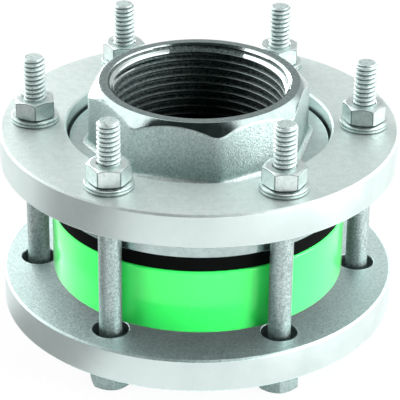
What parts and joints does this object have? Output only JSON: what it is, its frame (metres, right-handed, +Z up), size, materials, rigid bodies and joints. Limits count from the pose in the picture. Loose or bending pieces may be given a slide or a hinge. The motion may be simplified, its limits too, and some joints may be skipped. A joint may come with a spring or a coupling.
{
  "type": "flanged union",
  "caption": "Flanged pipe union: a female-threaded metal insert clamped on a gasket to a plastic pipe stub by two loose flanges with through bolts.",
  "frame": {"origin": "on the ground plane under the middle of the bolt heads, on the axis of the port", "axes": "+Z up along the axis of the threaded port, out of its mouth; +X through the first bolt"},
  "size_m": [0.105, 0.105, 0.075],
  "materials": {
    "flange": "galvanised and machined, satin",
    "insert": "cast flats, turned faces",
    "gasket": "matte black",
    "stub": "moulded, glossy green",
    "fastener": "bright zinc"
  },
  "bodies": {
    "root": {"upper_flange": "flange", "lower_flange": "flange", "threaded_insert": "insert", "gasket": "gasket", "pipe_stub": "stub", "bolt_1": "fastener", "bolt_2": "fastener", "bolt_3": "fastener", "bolt_4": "fastener", "bolt_5": "fastener", "bolt_6": "fastener", "nut_1": "fastener", "nut_2": "fastener", "nut_3": "fastener", "nut_4": "fastener", "nut_5": "fastener", "nut_6": "fastener", "upper_washer_1": "fastener", "upper_washer_2": "fastener", "upper_washer_3": "fastener", "upper_washer_4": "fastener", "upper_washer_5": "fastener", "upper_washer_6": "fastener", "lower_washer_1": "fastener", "lower_washer_2": "fastener", "lower_washer_3": "fastener", "lower_washer_4": "fastener", "lower_washer_5": "fastener", "lower_washer_6": "fastener"}
  },
  "joints": []
}
